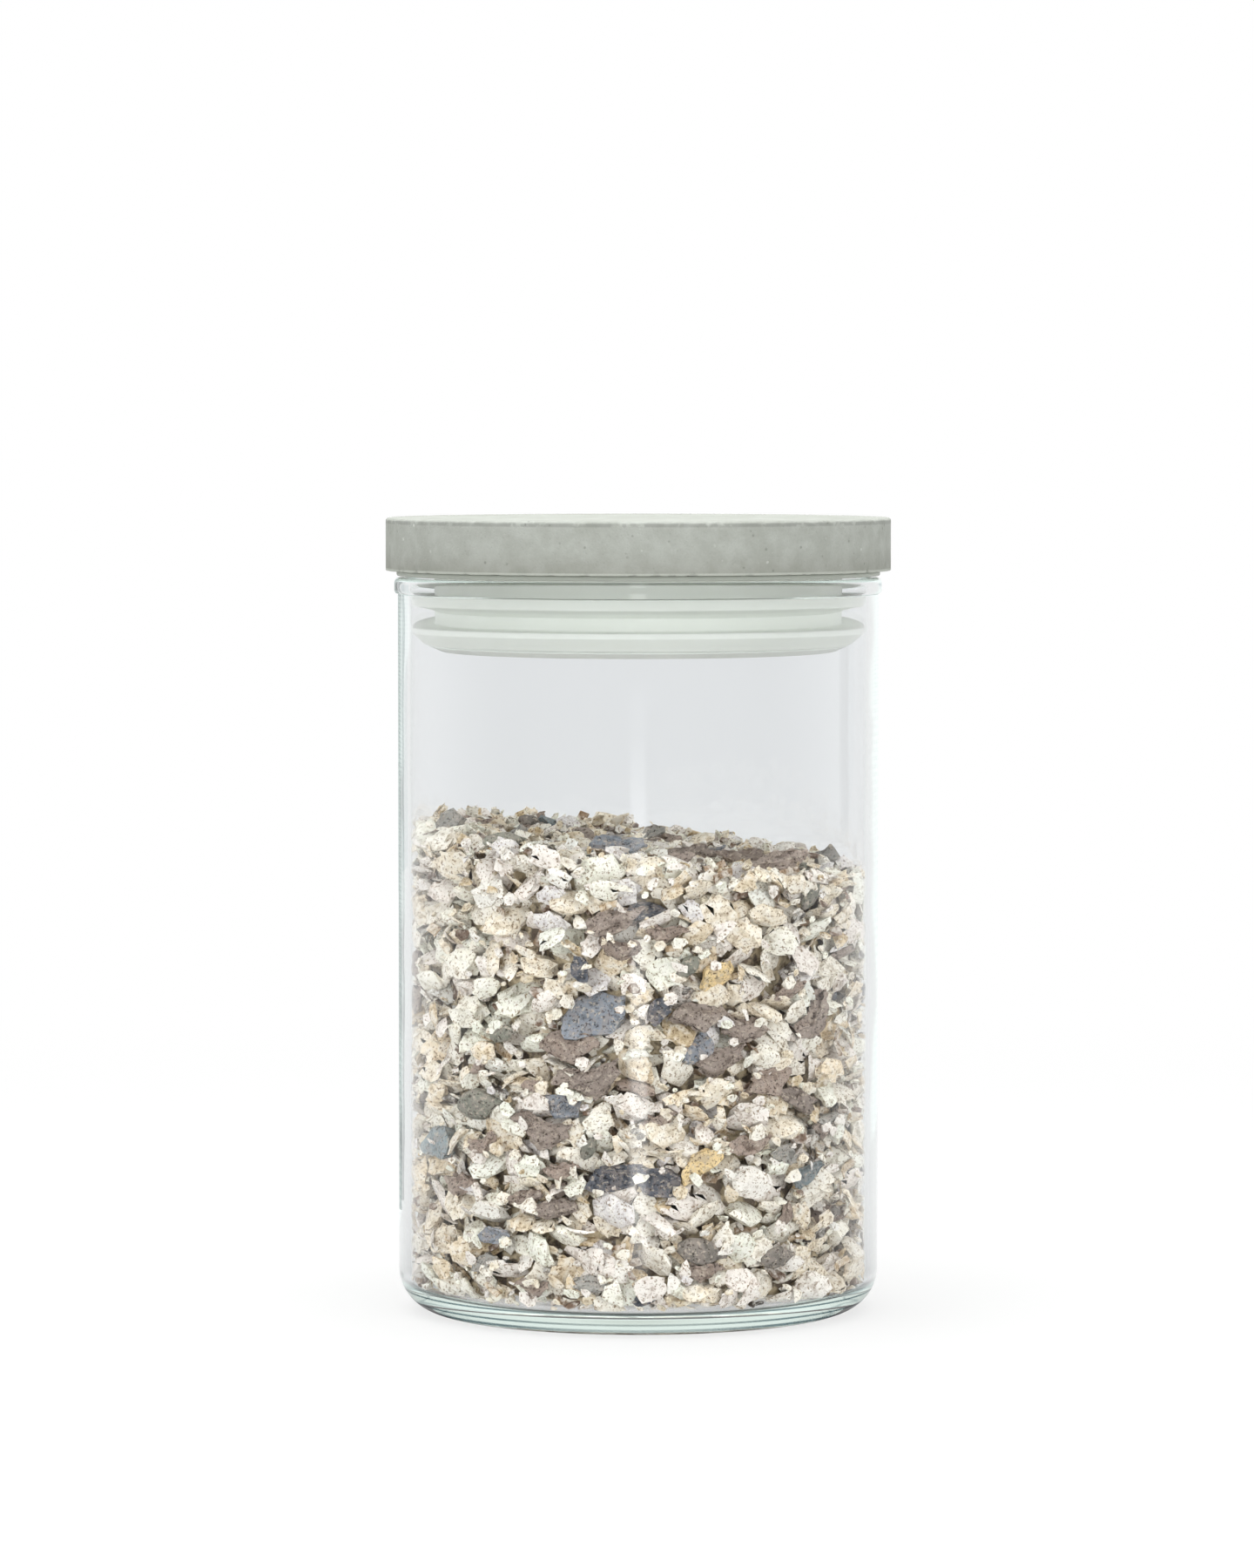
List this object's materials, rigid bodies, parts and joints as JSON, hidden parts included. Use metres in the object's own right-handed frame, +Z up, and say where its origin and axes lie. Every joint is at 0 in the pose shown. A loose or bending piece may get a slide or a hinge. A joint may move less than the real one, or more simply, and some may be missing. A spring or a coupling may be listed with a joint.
{
  "type": "glass storage jar",
  "caption": "Cylindrical clear glass storage jar with a flat stone-coloured push-in lid, a finned sealing ring and a fill of muesli.",
  "frame": {"origin": "centre of the jar's base, on the surface that it stands on", "axes": "+Z up along the jar's axis, towards the lid; the muesli's surface falls towards +X"},
  "size_m": [0.1054, 0.1054, 0.166],
  "materials": {
    "clear_glass": "gloss",
    "cast_stone": "matte",
    "moulded_plastic": "satin",
    "pale_silicone": "satin",
    "oat_muesli": "matte"
  },
  "bodies": {
    "jar": {"glass_jar": "clear_glass", "muesli_fill": "oat_muesli"},
    "seal": {"seal_ring": "pale_silicone"},
    "lid": {"lid_cap": "cast_stone", "lid_plug": "moulded_plastic"}
  },
  "joints": [
    {"name": "lid_lift", "type": "slide", "parent": "jar", "child": "seal", "axis": [0, 0, 1], "range_m": [0, 0.06]},
    {"name": "lid_turn", "type": "hinge", "parent": "seal", "child": "lid", "pos_m": [0, 0, 0.155], "axis": [0, 0, 1], "continuous": true}
  ]
}
